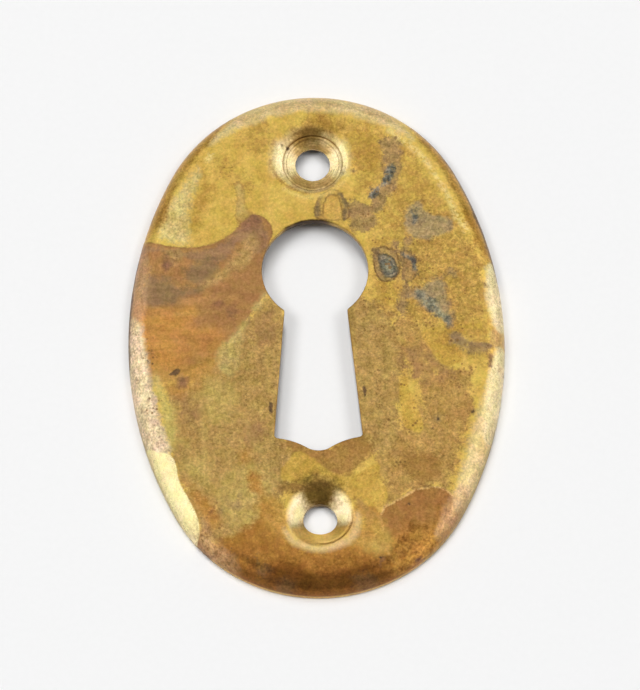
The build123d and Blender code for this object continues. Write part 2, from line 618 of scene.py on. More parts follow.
stain("brown_wash", [
    patch((8.8, -0.8), (12.4, -3.3), (15.6, -3.3), (15.6, -6.8), (14, -12.2), (12.9, -16.4), (11.3, -16.3),
        (9.7, -16.4), (8, -17.3), (6.4, -18.2), (6.6, -16.3), (5.6, -13), (7.7, -11), (9.5, -8),
        (10.3, -5.6)),
    patch((7.5, 3), (9.1, 2.8), (10.3, 1.4), (11.3, -0.6), (12.2, -2.6), (10.4, -2.4), (8.6, -0.8),
        (7.4, 1)),
], (172, 134, 74), (183, 147, 83), 0.5, 1.4, grit=1.6)
stain("keyhole_shade", [
    patch((-3.2, -9.8), (-0.1, -11.8), (3.8, -10.2), (5.4, -12.2), (3.3, -14.4), (-0.1, -14.5),
        (-2.7, -13.1)),
    patch((8.6, -12.9), (9.6, -12.5), (11.2, -12.7), (12, -13.8), (11.5, -15.2), (10.1, -15.4),
        (8.7, -14.7)),
], (160, 121, 64), (170, 131, 71), 0.5, 1, grit=1.2)
stain("green_haze", [
    patch((-9.4, -13.9), (-7.4, -13.3), (-4.7, -14.2), (-4.4, -15.9), (-5.8, -17.5), (-5.4, -18.9),
        (-8.1, -20), (-9.6, -18.8), (-10.2, -16.8), (-10, -15.2)),
    patch((-13.4, -12.9), (-11.4, -12.5), (-10.8, -14.1), (-11.6, -15.4), (-13, -14.9)),
    patch((-11.4, -4.6), (-9.6, -3.9), (-8.2, -5.5), (-8.6, -7.6), (-10.3, -8.7), (-11.4, -7.1)),
], (180, 152, 84), (195, 167, 98), 0.7, 1.6, grit=1.3)
stain("mauve_haze", [
    patch((-6.6, 2.8), (-5.4, 3.2), (-4, 2.5), (-4, 0.1), (-5.3, -1), (-6.5, 0.4)),
    patch((-14.6, -4.2), (-13.4, -3.8), (-12.6, -4.9), (-13.2, -6.2), (-14.3, -6)),
    patch((-13.2, -6.4), (-12.2, -6.2), (-11.6, -7.5), (-12.5, -8.4), (-13.2, -7.7)),
    patch((-8, -8.7), (-6.2, -8.1), (-5.4, -9.6), (-6.5, -10.9), (-7.9, -10.4)),
    patch((8.9, -1.9), (10.4, -1.3), (12.4, -2.2), (13.4, -3.5), (12, -4.3), (9.7, -4.3)),
], (158, 121, 79), (176, 137, 82), 0.8, 1.4, strength=0.85, grit=1.2)
stain("brown_flush", [
    patch((-13.9, -14.7), (-13.1, -15.3), (-12, -16.3), (-10.8, -17.8), (-10, -19.5), (-10.7, -20.4),
        (-11.6, -19.5), (-12.4, -17.7), (-13.3, -16.2)),
    patch((-15.7, -1.8), (-13.7, -1.5), (-11.5, -0.9), (-10.3, -1.2), (-9.9, -2.2), (-11.4, -3.3),
        (-12.8, -4.5), (-14.2, -5.5), (-15.2, -4.2)),
    patch((-7, -14.4), (-6.2, -14.1), (-5.6, -15.3), (-6.1, -16.4), (-6.9, -16)),
    patch((-5.6, -17.6), (-4.9, -17.3), (-4.5, -18.2), (-5.2, -18.7)),
    patch((3.7, -17.3), (4.8, -17.7), (5.9, -18.3), (6.5, -19.2), (5.8, -20.2), (4.6, -19.7), (3.8, -18.9)),
    spots(0.5, (-7.5, -12.3), (-10.7, -18)),
], (178, 126, 58), (190, 142, 74), 0.6, 1, strength=0.9, grit=1.2)
# Painted shade: a darker band inside the upper left rim's bend, where it mirrors darker surroundings
stain("rim_shade", [
    patch((-11.4, 18.9), (-10.7, 18.7), (-10.1, 17.1), (-10.5, 15.4), (-11.1, 13.9), (-11.8, 12.4),
        (-12.4, 12.6), (-12.1, 14.8), (-11.6, 16.7)),
], (176, 138, 62), (188, 149, 72), 0.8, 0.8, strength=0.9)
stain("bottom_orange", [
    patch((-11.6, -22.3), (-10.3, -21.1), (-8.9, -20.8), (-7.4, -20), (-5.8, -18.9), (-3.7, -18.8),
        (-3.1, -20.5), (-2.7, -21.8), (-1.5, -22.3), (-0.1, -22.4), (1.3, -22.1), (2.6, -21.4),
        (3.4, -20.5), (4.4, -20.2), (6, -20.6), (7.5, -20.8), (9.2, -20.7), (11, -20.1), (12.7, -19.3),
        (15.2, -20.9), (10.8, -30.6), (-0.6, -33), (-12.3, -30.1)),
], (156, 107, 48), (175, 126, 60), 0.6, 1, grit=1.1)
stain("bottom_brown", [
    patch((-10.7, -24.3), (-7.6, -23.7), (-4.1, -23.4), (-0.4, -23.9), (3.4, -23.6), (6.9, -24.1),
        (10, -23.2), (12.5, -24.1), (7.8, -31), (-0.6, -33), (-9.8, -30.1)),
], (128, 82, 34), (146, 97, 43), 1.2, 1.4, grit=1.2)
# Painted shade: the near rim made darker where it mirrors dark surroundings
stain("near_rim_shade", [crescent(218, 322, -0.5, 1)], (122, 79, 34), (140, 93, 42), 0.4, 0.5, grit=1.4)
stain("bottom_grey", [
    patch((-6.5, -24.1), (-5.8, -23.8), (-5.1, -24.5), (-5.6, -25.2), (-6.4, -25)),
    patch((-4.6, -25.7), (-3.3, -25.3), (-2.6, -25.9), (-3.4, -26.8), (-4.3, -26.7)),
    patch((3.1, -25.4), (4.5, -25), (5.7, -25.6), (5.1, -26.6), (3.7, -26.7)),
    spots(0.35, (-8.2, -25.3), (-9.2, -23.2)),
], (116, 84, 54), (132, 98, 62), 0.4, 0.9, strength=0.7, grit=1.4)

# A pale green band on the upper left of the rim, partly a green film and partly a painted highlight on the
# rim's bend
stain("rim_green_highlight", [
    patch((-11.5, 19), (-11.4, 17.7), (-12, 16.3), (-12.5, 14.7), (-12.7, 13.2), (-12.6, 11.9),
        (-12.7, 10.6), (-15.5, 11.1), (-15.7, 12.6), (-15, 14.3), (-14.1, 16), (-12.9, 17.5)),
], (196, 171, 104), (215, 195, 131), 0.5, 1, strength=0.95, rough=0.34, grit=1.4)

# The brown tongue that runs in from the left rim
stain("tongue", [
    patch((-20, 10.9), (-15.1, 10.6), (-13.3, 10.3), (-11.3, 10.4), (-9.2, 11.1), (-7.8, 12.2),
        (-6.8, 13.3), (-5.7, 13.7), (-4.7, 13.2), (-4.2, 11.9), (-4.6, 10.6), (-4.6, 8), (-5, 5.4),
        (-7.1, 2.3), (-8.6, 0.2), (-10.1, -1.4), (-11.3, -2.1), (-12.7, -2.5), (-14.2, -3.9), (-16, -4.1),
        (-20, -3.3)),
], (162, 118, 72), (175, 131, 79), 0.1, 0.25, grit=0.9, mix=flow, line=((142, 102, 66), 0.2, 0.8))
stain("tongue_dusk", [
    patch((-17.5, 10.6), (-13.3, 10), (-10.9, 10.1), (-8.9, 10.9), (-7.4, 12.4), (-5.7, 13.5), (-5.2, 12.6),
        (-4.7, 11), (-5.3, 9.4), (-6.5, 10.3), (-7.7, 10.6), (-9.3, 8.7), (-11.7, 8.7), (-13.7, 9.4)),
], (146, 112, 82), (166, 130, 90), 0.35, 0.8, grit=0.9, mix=flow)
stain("tongue_cores", [
    patch((-7.2, 13), (-6.5, 13.6), (-5.5, 13.4), (-5.2, 12.5), (-6.2, 12.1), (-7, 12.3)),
    patch((-6.2, 11.3), (-5.6, 11.7), (-5, 11), (-5.4, 10.2), (-6.1, 10.4)),
    patch((-10.4, 5), (-9.7, 5.3), (-9.3, 4.5), (-9.8, 3.9), (-10.4, 4.2)),
    patch((-9, 3.6), (-8.4, 3.8), (-8, 3.2), (-8.6, 2.8)),
], (126, 90, 68), (148, 106, 74), 0.6, 0.7, strength=0.75, mix=flow)
stain("tongue_grey", [
    patch((-12.8, 8.5), (-11.5, 9), (-10.3, 9.1), (-9.7, 8), (-10.9, 6.6), (-12.6, 6.6), (-13.2, 7.4)),
    patch((-17.2, 7.1), (-14.8, 7), (-13.4, 6), (-11.4, 5.7), (-13, 4.9), (-14.3, 4.2), (-16.1, 3.9),
        (-17.4, 4.5)),
], (138, 110, 76), (151, 122, 85), 0.5, 0.9, strength=0.95, grit=0.8, mix=flow)
stain("tongue_gold", [
    patch((-7.3, 11.3), (-6.4, 11.8), (-5.8, 11.1), (-6.1, 9.6), (-6.8, 8.5), (-7.9, 7.7), (-9.3, 7),
        (-10.4, 6.2), (-11.1, 6.3), (-10.1, 7.4), (-9.1, 8.4), (-8.3, 9.3), (-7.7, 10.2)),
    patch((-15.2, 10.5), (-14.3, 10.1), (-13.1, 9.8), (-13.5, 9.2), (-14.3, 8.8), (-14.7, 9.4)),
], (172, 137, 84), (200, 167, 106), 0.5, 1.1, strength=0.7, grit=1.5, mix=mottle)
stain("tongue_copper", [
    patch((-5.9, 9.2), (-4.6, 9.7), (-4.6, 6.2), (-6.2, 4.5), (-8, 5), (-10.2, 4.6), (-8.9, 6.3),
        (-7.1, 7.5)),
], (160, 117, 72), (170, 127, 77), 0.3, 0.6, grit=0.8, mix=flow)
stain("tongue_orange", [
    patch((-18.6, 4), (-14, 2.2), (-10.6, 1.6), (-8.9, 1), (-10.1, -1), (-12.1, -1.7), (-14.2, -3.4),
        (-16.8, -3.2), (-18.5, 0.4)),
], (177, 126, 69), (193, 140, 75), 0.8, 1.4, grit=0.9, mix=flow)
stain("tongue_amber", [
    patch((-16.4, 3.6), (-15, 3.9), (-13.6, 3.8), (-12.3, 4.3), (-11.9, 3.3), (-12.9, 2), (-14.5, 1.6),
        (-16.1, 1.9)),
    patch((-16.1, -0.3), (-14.9, 0.2), (-13.9, -0.8), (-13.7, -2.3), (-15, -2.9), (-16.1, -2)),
], (192, 136, 68), (204, 152, 80), 0.5, 1, strength=0.7, mix=flow)
stain("tongue_swirls", [
    stroke(0.6, (-13.5, 4.6), (-12.4, 4.5), (-11.3, 4.9), (-10.2, 4.7)),
    stroke(0.5, (-14.1, 0.3), (-12.9, -0.3), (-12.1, -1.1), (-11, -1.4)),
    stroke(0.5, (-16.4, 3.1), (-15, 3.5), (-13.6, 3.1)),
], (186, 138, 82), (204, 156, 94), 0.4, 0.7, strength=0.5, mix=flow)
stain("tongue_end", [
    patch((-16.4, -2.5), (-14.6, -2.9), (-12.7, -2.5), (-11.1, -1.7), (-10, -1.4), (-10.2, -3), (-12, -4.8),
        (-14, -5.6), (-15.8, -4.9)),
], (180, 136, 70), (191, 150, 80), 0.9, 1.3, strength=0.9, grit=1.2)
stain("droplets", [
    patch((-14.9, 9.6), (-14.6, 9.2), (-14.6, 8.3), (-15, 8), (-15.3, 8.6), (-15.2, 9.2)),
    patch((-14.1, -3.8), (-13.4, -3.6), (-12.9, -4.1), (-13.4, -4.7), (-14.1, -4.5)),
], (126, 88, 74), (148, 108, 80), 0.4, 0.5, strength=0.75)

# Pale green-gold streaks where the film is thin
stain("pale_streaks", [
    patch((-5.1, 5.4), (-4.9, 4.9), (-5.8, 3.5), (-6.5, 3.2), (-7.1, 1.7), (-7.6, -0.3), (-7.9, -2.2),
        (-8.7, -3.5), (-9.7, -3), (-10, -1.6), (-9.5, -0.3), (-8.1, 1.1), (-6.8, 2.7), (-6, 4)),
], (186, 160, 94), (206, 184, 118), 0.4, 0.9, strength=0.9, grit=1.5)
stain("faint_lines", [
    stroke(0.35, (-11.7, -6.2), (-11.6, -9.5), (-11.3, -12.2)),
    stroke(0.35, (-13.6, -10.7), (-12.3, -12.5), (-11, -14.5)),
    stroke(0.4, (-7.2, -8.5), (-6.7, -10.7), (-5.7, -12.3)),
    stroke(0.35, (6.8, -11), (6.4, -12.9), (6.5, -14.6)),
], (194, 162, 92), (208, 178, 108), 0.35, 0.7, strength=0.45)
stain("drip", [
    patch((-7.9, 17), (-7.4, 17.4), (-7, 16.6), (-6.9, 14.9), (-6.6, 13.8), (-7.4, 13.1), (-7.9, 13.9),
        (-7.7, 15.5)),
], (180, 150, 84), (198, 170, 106), 0.2, 0.3, strength=0.8, line=((140, 106, 56), 0.16, 0.45))
stain("left_streak", [
    patch((-16.4, -3.3), (-15.7, -3.7), (-15.2, -5.6), (-14.5, -7.3), (-14.2, -9.7), (-14.5, -11.4),
        (-15.1, -11.2), (-15.6, -8.9), (-16, -6.8), (-16.5, -5.1)),
], (194, 170, 94), (210, 190, 114), 0.5, 0.8, strength=0.85)

# Cleaner gold that shows through
stain("clean_gold", [
    patch((5.8, -13.3), (6, -15.1), (6.7, -16.2), (6.4, -17.7), (4.8, -17.9), (3.9, -17.2), (2.8, -15.5),
        (3.9, -14.4)),
    patch((-2.5, -12.1), (-0.9, -12.5), (0.7, -13.9), (2.9, -15), (2.1, -15.6), (-0.3, -14.3),
        (-2.3, -15.1), (-3.9, -14.6)),
    patch((8.4, -4.2), (9.1, -4.5), (9.4, -6.1), (9.9, -7.4), (10.6, -9), (10.2, -10.3), (9.2, -9.8),
        (8.5, -8.9), (8.3, -6.1)),
    patch((10.5, 0.5), (11.5, 1.1), (13.1, 1.3), (13.9, 0.2), (14.2, -1.1), (14.8, -2), (14.4, -2.7),
        (13.2, -3), (12.2, -2.4), (11.4, -1.1)),
    patch((12.5, 1.3), (15.5, 1.7), (17.1, 0.8), (16.5, 0.1), (14.1, 0.4)),
    patch((6.5, 6), (7.7, 6.4), (8.9, 5.7), (8.7, 4.2), (7.1, 3.8)),
    patch((3.5, 22.1), (5.1, 22.9), (6.9, 22.2), (7, 20.5), (6.2, 18.8), (4.4, 18.1), (3.8, 19.7)),
], (192, 155, 71), (204, 168, 81), 0.15, 0.4, strength=0.9, rough=0.31, metallic=1)

# The brown patch at the lower right with its pale edge, and the lighter one beside it
stain("brown_patch", [
    patch((6.3, -18.2), (7.1, -17.7), (8.1, -17.2), (9.1, -16.5), (10.1, -16.2), (11.3, -15.9),
        (12.2, -16.1), (13, -16.7), (13.4, -17.4), (13.1, -18.9), (12.4, -20.2), (11.4, -21.9), (10, -23.3),
        (8.3, -24), (6.9, -23.5), (6.4, -21.8), (6.1, -19.6)),
], (156, 110, 60), (167, 121, 68), 0.15, 0.3, grit=1.1, line=((222, 180, 120), 0.2, 0.9))
stain("patch_rust", [
    patch((7.2, -20.9), (8.6, -20.3), (10, -19.9), (11.2, -19.5), (12.5, -18.4), (13.5, -18.9), (13, -20.6),
        (11.8, -22.5), (10.3, -24), (8.3, -24.9), (6.5, -24.2), (6, -22.6), (6.4, -21.6)),
], (148, 100, 44), (182, 134, 64), 0.8, 1.4, strength=0.95, grit=1.6, mix=mottle)
stain("light_patch", [
    patch((3.4, -20), (4.6, -19.5), (5.9, -19.6), (6.7, -20.5), (7, -21.8), (6.6, -22.9), (5.3, -23),
        (4, -22.3), (3.2, -21.2)),
], (186, 150, 78), (199, 164, 89), 0.7, 1, rough=0.33)

# Brown flecks, thickest on the right and at the upper left
stain("brown_flecks", [
    patch((4, 23.5), (9, 22), (14, 14), (17, 7), (17.5, -3), (9, 2), (5.5, 4), (6, 10), (4.5, 14)),
    patch((-10.5, 20.6), (-8.7, 20.1), (-7.9, 19), (-9.1, 18), (-10.3, 18.7)),
    patch((-7.8, 23), (-4.4, 23.8), (-3.8, 20.9), (-5.6, 20), (-6.8, 21)),
    patch((-8.4, 17.8), (-7.6, 18.6), (-6.3, 18.3), (-5.9, 17.1), (-6.7, 16.2), (-7.8, 16.6)),
    patch((-12.3, -19.8), (-11.1, -20), (-9.6, -22), (-8.2, -24.7), (-8.7, -25.8), (-10.7, -24.2),
        (-12.5, -22)),
], (152, 112, 58), (170, 130, 71), 0.6, 1.5, strength=0.5, rough=0.4, grit=1.3, broken=crumbs)

# Dull mauve-brown haloes, and the blue-grey crusts inside them
stain("haloes", [
    patch((7.1, 22), (8.7, 21.9), (8.8, 20.4), (8.7, 18.1), (8, 16.1), (7.3, 15.1), (6.9, 13.8),
        (5.9, 13.7), (5.5, 15.1), (6.1, 16.6), (7, 17.4), (7.1, 19.4), (6.8, 20.9)),
    patch((3.5, 14.7), (4.7, 15.1), (6.1, 14.2), (6.3, 12.5), (5.2, 11.5), (4.2, 11.8), (3.7, 13)),
    patch((8.2, 9.6), (9, 9.7), (9.9, 9.1), (10.2, 7.6), (9.5, 5.9), (10.3, 5), (9.1, 4.2), (8.9, 2.4),
        (8.3, 2.7), (8.2, 4.4), (8.7, 5.9), (8.5, 7.7)),
    patch((9.7, 5), (11, 6.2), (12.4, 6.6), (13.3, 5), (13.7, 1.7), (12.9, 1.3), (11.7, 2.6), (10.5, 3.7)),
    patch((13.6, 0.4), (14.7, 0.2), (15.6, -0.5), (17.2, -0.8), (17, -1.6), (15.4, -1.6), (14.1, -0.8)),
    patch((9, 10.7), (9.9, 11.3), (9.4, 9.6), (8.6, 9.2)),
    spots(0.4, (4.3, 18.3), (4.7, 12.3), (8.2, 10.3), (13.7, 7.3), (6.2, 9.4)),
], (142, 115, 78), (169, 138, 90), 0.3, 1.1, strength=0.85, rough=0.42, metallic=0.85, grit=1.6, mix=mottle)
stain("grey_haloes", [
    patch((9.5, 14.3), (10.7, 14.7), (11.7, 13.4), (13.5, 13), (13.9, 11.8), (12.5, 11), (10.8, 10.8),
        (9.5, 11.3), (9.2, 12.8)),
    patch((9.1, 4.6), (10.3, 5.3), (11.4, 6.1), (12.6, 6.2), (13.1, 4.5), (13.3, 1.7), (12.1, 2.6),
        (11, 3.7), (10.1, 4.3)),
], (148, 131, 94), (175, 150, 104), 0.25, 0.5, strength=0.9, rough=0.42, metallic=0.8, grit=1.6)
stain("eye", [
    patch((5.9, 7.9), (6, 9.2), (6.6, 10), (7.6, 9.8), (8.3, 9.2), (8.6, 8), (8.3, 6.8), (7.5, 6.3),
        (6.5, 6.5)),
], (140, 116, 82), (174, 142, 88), 0.2, 0.3, strength=0.85, grit=1.6, mix=mottle,
      line=((104, 78, 50), 0.2, 0.9))
stain("eye_core", [
    patch((8.1, 6.8), (8.3, 7.7), (7.9, 8.8), (7, 9.3), (6.4, 8.9), (6.6, 7.8), (7.2, 6.8)),
], (112, 106, 88), (158, 144, 114), 0.2, 0.3, strength=0.95, metallic=0.7, grit=2, mix=mottle,
      line=((64, 64, 56), 0.22, 0.9))
stain("eye_twin", [
    patch((8.5, 9.3), (9.3, 9.5), (9.9, 8.8), (10.1, 7.7), (9.9, 6.4), (9.2, 6), (8.8, 6.8), (8.7, 8.1)),
], (146, 114, 74), (182, 142, 84), 0.2, 0.5, strength=0.6, grit=1.6, mix=mottle,
      line=((100, 82, 60), 0.16, 0.7))
stain("eye_middle", [
    patch((7.8, 7.1), (8, 7.7), (7.6, 8.5), (7, 8.7), (6.7, 8.2), (7.2, 7.2)),
], (108, 106, 92), (146, 138, 112), 0.15, 0.3, strength=0.9, metallic=0.7, grit=2, mix=mottle,
      line=((66, 68, 62), 0.2, 0.9))
stain("crusts", [
    patch((7.7, 19.1), (8.3, 18.7), (8, 17.8), (7.5, 16.9), (6.8, 16.4), (6.4, 15.7), (5.9, 15.1),
        (5.4, 15.3), (5.7, 16), (6.3, 16.6), (6.9, 17.2), (7.3, 18.1)),
    stroke(0.35, (8.8, 9.2), (9.4, 8.9), (9.9, 8.4), (10, 7.6)),
    stroke(0.2, (9.8, 13.9), (10.2, 12.8)),
    stroke(0.2, (10.4, 14.1), (10, 12.6)),
    spots(0.25, (7.5, 7.8)),
], (74, 77, 72), (142, 140, 120), 0.2, 0.6, strength=0.9, rough=0.5, metallic=0.5, grit=2, mix=mottle,
      broken=flakes)
stain("wedge_crust", [
    patch((10, 5.5), (10.6, 5.3), (11.5, 4.5), (12.3, 3.6), (13.1, 2.5), (13.4, 1.6), (12.9, 1.6),
        (12.1, 2.4), (11.2, 3.3), (10.4, 4.3)),
], (96, 99, 86), (150, 146, 118), 0.3, 0.7, strength=0.85, rough=0.5, metallic=0.6, grit=2, mix=mottle,
      broken=flakes)

# The horseshoe mark above the keyhole, and the grey smears
stain("horseshoe", [
    patch((0.2, 13.5), (0.4, 14.8), (1, 15.7), (1.9, 16.1), (2.8, 15.8), (3.4, 14.8), (3.5, 13.3),
        (2.7, 13.1), (1.2, 13.1)),
], (160, 122, 74), (182, 144, 92), 0.15, 0.25, strength=0.4, grit=1.4, mix=mottle,
      line=((108, 80, 50), 0.18, 0.8))
stain("horseshoe_inside", [
    patch((1.1, 13.3), (1.1, 14.5), (1.6, 15.4), (2.3, 15.5), (2.8, 14.8), (2.8, 13.3), (1.9, 13)),
], (204, 162, 82), (212, 174, 94), 0.15, 0.25, strength=0.9, line=((100, 74, 46), 0.16, 0.7))
stain("horseshoe_sides", [
    patch((2.8, 15.7), (3.2, 15.5), (3.4, 14.6), (3.4, 13.6), (3.1, 13), (2.9, 13.5), (3, 14.5),
        (2.9, 15.1)),
    patch((0.2, 13.6), (0.4, 14.7), (0.9, 15.5), (1.1, 15.3), (0.7, 14.5), (0.5, 13.6)),
], (88, 74, 58), (122, 102, 76), 0.2, 0.4, strength=0.8, rough=0.45, metallic=0.8, mix=mottle)
stain("smears", [
    stroke(0.8, (3.8, -17.6), (4.6, -18.7), (5.7, -19.7)),
    spots(0.5, (-8.4, -17.5)),
    spots(0.3, (-9.8, -18), (-8, -16.5), (12, -8.7)),
], (150, 124, 84), (166, 138, 94), 0.5, 0.8, strength=0.65, rough=0.45, metallic=0.8)
stain("grey_smear", [
    patch((13.6, 0.4), (14.3, 0.4), (15.1, 0), (15.5, -0.5), (15, -0.9), (14.1, -0.6), (13.6, -0.1)),
    stroke(0.35, (15.4, -0.5), (16.3, -0.7), (17.4, -0.9)),
], (140, 114, 80), (156, 128, 88), 0.25, 0.4, strength=0.9, rough=0.45, metallic=0.8)

# The rim: paler where it is rubbed, with painted highlights along its top and right side, browner at the
# upper corners, bright where it was scraped, a painted reflection along its foot and painted shade on its
# outer edge
# Painted highlights on partly rubbed metal: the band along the top of the rim and the shoulder at the lower
# right
stain("rim_pale_highlight", [crescent(64, 116, 0.3, 2.3), crescent(-54, -14, -0.6, 2.1)],
      (204, 178, 122), (217, 194, 144), 0.45, 0.6, strength=0.9, rough=0.34, metallic=0.8, grit=1.3)
stain("rim_brown", [crescent(108, 147, -0.6, 1.3), crescent(24, 68, -0.6, 1.3)],
      (166, 123, 50), (186, 144, 64), 0.4, 0.7, strength=0.9, grit=1.5)
stain("rim_pink", [
    patch((-20.5, 3.2), (-17.8, 2.6), (-17.2, 0.5), (-16.8, -3), (-16, -7.5), (-14.9, -12), (-17.5, -12.8),
        (-20.5, -6)),
], (205, 178, 144), (219, 198, 160), 0.3, 0.6, metallic=0.75, grit=1.7, mix=mottle)
stain("rim_rose", [
    crescent(150, 176, -0.4, 1.6),
    crescent(-62, -47, -0.2, 1.6),
    crescent(-4, 3, -0.3, 1.5),
], (180, 142, 106), (198, 164, 126), 0.4, 0.7, strength=0.55, grit=1.6)
# Painted highlight along the right side of the rim
stain("rim_lit_highlight", [crescent(2, 25, -0.7, 1.5), crescent(-34, -3, -0.7, 1.5)],
      (216, 196, 146), (232, 214, 166), 0.35, 0.5, rough=0.3, metallic=0.75, grit=1.3)
stain("rim_bright", [
    patch((-17.5, -10.9), (-16.1, -11.6), (-15, -12), (-14.4, -12.9), (-14, -14.9), (-13.2, -16.6),
        (-12.4, -18.4), (-12.1, -19.8), (-12.4, -21.2), (-13.6, -22.9), (-17.1, -20), (-19.6, -15.6),
        (-20, -12)),
], (240, 222, 160), (248, 233, 176), 0.08, 0.12, rough=0.28, metallic=0.5, grit=0.5)
stain("rim_freckles", [
    patch((-12.1, -19.1), (-11.4, -19), (-10.4, -21.1), (-9.2, -22.9), (-8.4, -24.4), (-9.4, -25.5),
        (-11, -23.7), (-12.2, -21.7)),
], (158, 122, 82), (190, 156, 114), 0.7, 1.2, strength=0.65, grit=1.8, mix=mottle)
# Painted highlights: a bright line inside the upper right rim and a small bright dash at the upper left
stain("highlight_streaks", [
    stroke(0.6, (7.8, 22.7), (9, 21.7), (10.8, 20.1), (12.3, 17.8), (13.4, 15.7), (14.5, 13.1),
        (15.3, 11.7)),
    patch((-10.9, 20), (-10.3, 20.6), (-9.9, 20.4), (-10.5, 19.5)),
], (226, 200, 124), (242, 220, 150), 0.35, 0.5, strength=0.9, rough=0.3, broken=crumbs)
stain("rim_marks", [
    patch((17.2, -1.9), (17.6, -1.6), (17.8, -2), (17.5, -2.9), (17.3, -3.3), (17.1, -2.7)),
    patch((16.4, 6.4), (16.9, 6.3), (17.5, 5.6), (17.4, 5.3), (16.8, 5.7)),
    stroke(0.25, (6.2, -23.6), (6, -23.8), (5.9, -24.2)),
    stroke(0.3, (9.6, -23.4), (10, -23.2)),
], (104, 72, 54), (150, 112, 84), 0.2, 0.5, strength=0.8, mix=mottle)
# Painted reflection: a thin bright line along the foot of the near rim
lit_height = 0.55
lit_foot = np.maximum(crescent(244, 328, -0.5, 0.6), plate_points[:, 2] - lit_height)
stain("foot_reflection", [lit_foot],
      (216, 174, 94), (230, 192, 114), 0.15, 0.1, strength=0.9, rough=0.4, metallic=0.3)
# Painted shade: thin darker lines on the rim's outer edge, olive on its lower sides and dark on its upper
# sides
stain("edge_olive_shade", [crescent(196, 242, -0.5, 0.1), crescent(-70, -20, -0.5, 0.1)],
      (146, 122, 60), (168, 144, 78), 0.15, 0.1, strength=0.7, rough=0.4, metallic=0.7)
stain("edge_dark_shade", [crescent(150, 192, -0.5, 0.2), crescent(18, 66, -0.5, 0.3)],
      (84, 62, 36), (122, 92, 48), 0.15, 0.2, strength=0.85, rough=0.45)

# Bare metal in the dimples, with painted shade along their upper sides and painted highlights on their sides
# and lower edges
stain("drilled_brass", [spots(3.6, (-0.1, upper_dimple["y"] + stain_drop + 0.1))],
      (208, 180, 118), (224, 200, 142), 0.35, 0.3, strength=0.9, rough=0.28, metallic=1)
stain("pressed_brass", [spots(3.3, (0, lower_dimple["y"] + stain_drop))],
      (228, 210, 160), (240, 225, 182), 0.35, 0.3, strength=0.95, rough=0.3, metallic=1, grit=0.5)
stain("dimple_flush", [
    patch((-6, -17.2), (-4.6, -16.7), (-3.6, -17.7), (-3.4, -19.4), (-2.7, -21.4), (-4.5, -20.7),
        (-5.8, -19)),
    patch((3.2, -17.4), (4.2, -18), (5.4, -19), (6.4, -19.8), (5.6, -21.6), (3.9, -22.4), (3, -21.5)),
], (184, 139, 68), (197, 155, 80), 0.7, 1, strength=0.85, grit=1.3)
stain("dimple_gold", [
    patch((-3, -20.2), (-2.4, -21.4), (0, -22.4), (2.4, -21.4), (3, -20.2), (1.7, -19.6), (0, -20.2),
        (-1.7, -19.6)),
], (222, 180, 92), (236, 200, 114), 0.4, 0.3, strength=0.95, rough=0.42, metallic=1, grit=0.6)
# Painted highlight on the lower shoulder of the lower dimple
stain("lower_dimple_highlight", [
    patch((-3.4, -20.1), (-2.4, -21.4), (-0.1, -22.1), (2.4, -21.4), (3.3, -20.2), (3.6, -18.8),
        (3.9, -18.7), (3.9, -20.3), (2.8, -21.9), (0, -22.7), (-2.8, -21.8), (-3.8, -20.3)),
], (224, 192, 138), (236, 208, 156), 0.45, 0.4, strength=0.75, rough=0.3, grit=0.8)
# Painted shade on the upper side of the upper dimple, deepest near its middle
stain("dimple_shade", [
    patch((-1.9, 22), (-1.5, 22.9), (-0.5, 23.8), (1.1, 24.1), (2.5, 23.8), (3.6, 23.4), (3.2, 22.6),
        (2, 22.6), (0.8, 22.4), (-0.4, 22.1), (-1.3, 21.6)),
], (160, 122, 56), (178, 140, 68), 0.7, 0.8, strength=0.9, grit=1.4)
stain("dimple_deep_shade", [
    patch((-1.1, 22.5), (-0.6, 23), (0.1, 23.2), (0.7, 22.9), (1, 22.3), (0.4, 22.1), (-0.6, 22)),
], (118, 88, 40), (138, 104, 50), 0.5, 0.4, strength=0.85, grit=1.2)
# Painted highlights on the left and right of the upper dimple's ring
stain("dimple_cream_highlights", [
    patch((1.5, 20.4), (3.3, 21.5), (3.9, 19.8), (3.4, 17.9), (1.6, 18.6)),
    patch((-1.6, 20.4), (-3.4, 21.6), (-4.1, 19.8), (-3.6, 17.8), (-1.7, 18.6)),
], (234, 216, 164), (246, 232, 186), 0.6, 0.4, strength=0.6, rough=0.28, metallic=1)
# Painted shade at the top of the drilled cone, and a darker tone at its bottom
stain("cone_shade", [
    patch((-1.9, 20.9), (-1, 21.6), (0, 21.8), (1, 21.6), (1.9, 20.9), (1.2, 20.5), (0, 20.8),
        (-1.2, 20.5)),
    patch((-1.7, 18.2), (-2.2, 17.4), (0, 16.5), (2.2, 17.4), (1.7, 18.2), (0.9, 17.8), (0, 17.6),
        (-0.9, 17.8)),
], (158, 122, 62), (178, 142, 78), 0.4, 0.4, strength=0.7, grit=1.2)
inner_ring, inner_thinner, ring_half = 2.66, 0.03, 0.06
from_drill = np.hypot(plate_points[:, 0], plate_points[:, 1] - upper_dimple["y"])
from_rings = np.minimum(np.abs(from_drill - drill_radius), np.abs(from_drill - inner_ring) + inner_thinner)
stain("drill_rings", [from_rings - ring_half],
      (112, 84, 38), (138, 104, 52), 0.08, 0.06, strength=0.75, rough=0.4)
stain("dimple_line", [
    stroke(0.3, (-3.7, 21.8), (-4.1, 19.5), (-3.5, 17.7), (-2.2, 16.5), (-0.7, 15.9)),
], (150, 110, 56), (168, 128, 68), 0.2, 0.4, strength=0.7)
stain("dimple_glint", [
    stroke(0.4, (-2.7, 16.3), (-0.9, 15.4), (1.1, 15.6), (2.8, 16.6), (3.8, 17.8)),
], (226, 194, 112), (238, 210, 130), 0.35, 0.3, strength=0.65, rough=0.3)
